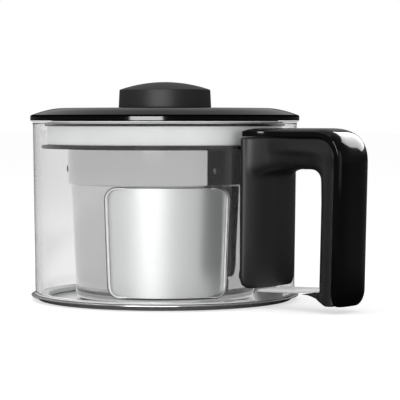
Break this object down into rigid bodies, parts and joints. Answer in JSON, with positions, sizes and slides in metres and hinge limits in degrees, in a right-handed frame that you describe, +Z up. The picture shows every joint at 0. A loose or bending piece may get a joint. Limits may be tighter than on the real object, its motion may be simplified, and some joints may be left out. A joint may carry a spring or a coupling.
{
  "type": "glass tea jug with infuser",
  "caption": "Clear glass tea jug on a steel base dish, with a lift-out steel infuser cup with mesh windows, a black knobbed lid and a black side handle.",
  "frame": {"origin": "centre of the underside of the base dish, on the jug's axis, where the jug stands", "axes": "+X from the jug's axis through the handle, +Z up, +Y completes the right-handed frame"},
  "size_m": [0.2122, 0.1526, 0.1231],
  "materials": {
    "clear_glass": "clear, polished",
    "polished_steel": "polished pressed stainless steel",
    "brushed_steel": "satin stainless steel",
    "steel_mesh": "fine perforated stainless sheet",
    "black_plastic": "moulded, semi-matt",
    "black_gloss": "moulded, satin to gloss",
    "dark_silicone": "matt silicone",
    "translucent_silicone": "translucent silicone",
    "bond": "cured adhesive",
    "brass": "turned brass"
  },
  "bodies": {
    "jug": {"base_pan": "polished_steel", "base_seal": "translucent_silicone", "glass_jug": "clear_glass", "handle_bond": "bond", "handle_body": "black_plastic", "handle_cover": "black_gloss", "handle_bracket": "brushed_steel", "foot_screw_1": "brushed_steel", "foot_screw_2": "brushed_steel", "foot_insert_1": "brass", "foot_insert_2": "brass"},
    "infuser": {"infuser_collar": "brushed_steel", "collar_seal": "dark_silicone", "infuser_ring": "dark_silicone", "infuser_cup": "brushed_steel", "infuser_floor": "steel_mesh", "mesh_frame_1": "polished_steel", "mesh_frame_2": "polished_steel", "mesh_frame_3": "polished_steel", "mesh_panel_1": "steel_mesh", "mesh_panel_2": "steel_mesh", "mesh_panel_3": "steel_mesh", "infuser_rivet_1": "polished_steel", "infuser_rivet_2": "polished_steel", "infuser_rivet_3": "polished_steel"},
    "lid": {"lid_cover": "black_gloss", "lid_liner": "black_plastic", "lid_gasket": "dark_silicone", "lid_knob": "black_gloss", "knob_insert": "brass", "knob_washer": "brushed_steel", "knob_screw": "brushed_steel"}
  },
  "joints": [
    {"name": "infuser_lift", "type": "slide", "parent": "jug", "child": "infuser", "axis": [0, 0, 1], "range_m": [0, 0.11]},
    {"name": "lid_lift", "type": "slide", "parent": "infuser", "child": "lid", "axis": [0, 0, 1], "range_m": [0, 0.06]}
  ]
}
